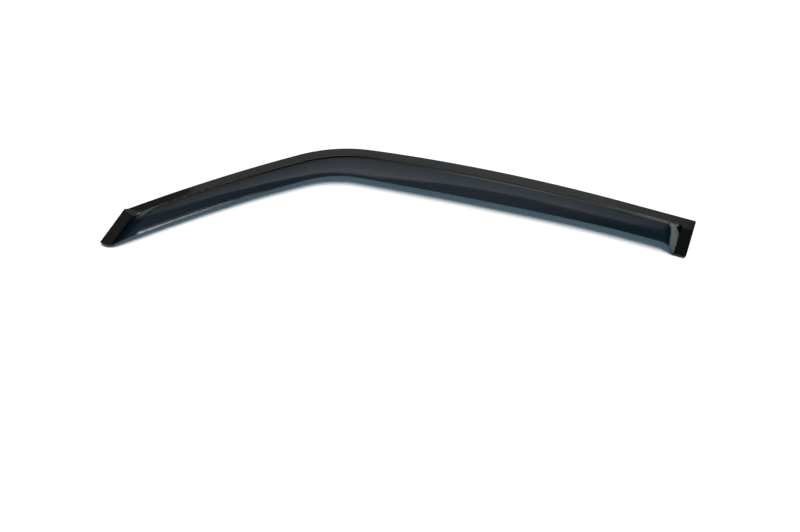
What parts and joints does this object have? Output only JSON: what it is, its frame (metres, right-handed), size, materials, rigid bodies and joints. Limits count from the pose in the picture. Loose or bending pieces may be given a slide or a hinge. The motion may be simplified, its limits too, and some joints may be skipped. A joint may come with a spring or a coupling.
{
  "type": "window rain deflector",
  "caption": "Smoked clear plastic window visor for a car door: arched strip with a flat taped flange, a stepped riser, a crowned hood, a rear end wall and a slanted tip pad.",
  "frame": {"origin": "on the plane that the tapes stick to, at the middle of the top tape's width under the crest of the arch", "axes": "+X along the flange at the crest, towards the rear end; +Y from the lip to the outer edge; +Z out from the window"},
  "size_m": [0.955, 0.2116, 0.0193],
  "materials": {
    "smoked_acrylic": "clear smoked acrylic, polished on both faces",
    "foam_tape": "closed-cell acrylic foam",
    "release_liner": "thin satin film"
  },
  "bodies": {
    "root": {"visor": "smoked_acrylic", "top_tape": "foam_tape", "rear_tape": "foam_tape", "tip_tape": "foam_tape", "top_liner": "release_liner", "rear_liner": "release_liner", "tip_liner": "release_liner"}
  },
  "joints": []
}
